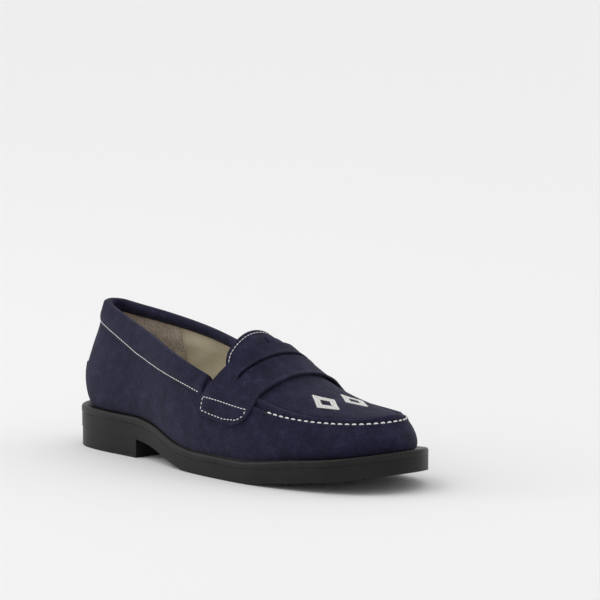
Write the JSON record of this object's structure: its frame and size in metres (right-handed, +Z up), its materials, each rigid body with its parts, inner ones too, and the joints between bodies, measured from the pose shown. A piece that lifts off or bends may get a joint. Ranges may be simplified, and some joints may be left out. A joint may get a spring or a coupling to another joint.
{
  "type": "penny loafer",
  "caption": "Navy suede penny loafer, right shoe, with a slit saddle strap, moccasin seam, padded collar and black rubber sole with heel.",
  "frame": {"origin": "on the ground under the middle of the shoe's length and width", "axes": "+X towards the toe, +Y towards the inner (medial) side, +Z up"},
  "size_m": [0.299, 0.1007, 0.0964],
  "materials": {
    "black_rubber": "satin moulded rubber",
    "steel": "plain steel",
    "cork": "granular cork",
    "fibre_board": "pressed fibre board",
    "foam": "soft foam",
    "cream_leather": "smooth lining leather",
    "grip_suede": "suede lining",
    "navy_suede": "napped suede",
    "white_thread": "twisted thread"
  },
  "bodies": {
    "shoe": {"apron_lining": "cream_leather", "apron_plug": "navy_suede", "back_seam_strip": "navy_suede", "backstay": "navy_suede", "collar_stitching": "white_thread", "cork_filler": "cork", "embroidered_motif": "white_thread", "heel_block": "black_rubber", "heel_counter": "fibre_board", "heel_grip_lining": "grip_suede", "heel_nails": "steel", "heel_pad": "foam", "insole_board": "fibre_board", "moc_seam_thread": "white_thread", "outsole": "black_rubber", "quarter_lining_inner": "cream_leather", "quarter_lining_outer": "cream_leather", "saddle_strap": "navy_suede", "sock_lining": "cream_leather", "steel_shank": "steel", "strap_stitching": "white_thread", "toe_puff": "fibre_board", "topline_collar": "navy_suede", "vamp_lining": "cream_leather", "vamp_wall": "navy_suede", "welt": "black_rubber"},
    "tongue": {"tongue": "navy_suede", "tongue_lining": "cream_leather", "tongue_stitching": "white_thread"}
  },
  "joints": [
    {"name": "tongue_lift", "type": "hinge", "parent": "shoe", "child": "tongue", "pos_m": [0.031, 0, 0.079], "axis": [0, 1, 0], "range_deg": [-5, 12], "stiffness_Nm_per_rad": 0.08}
  ]
}
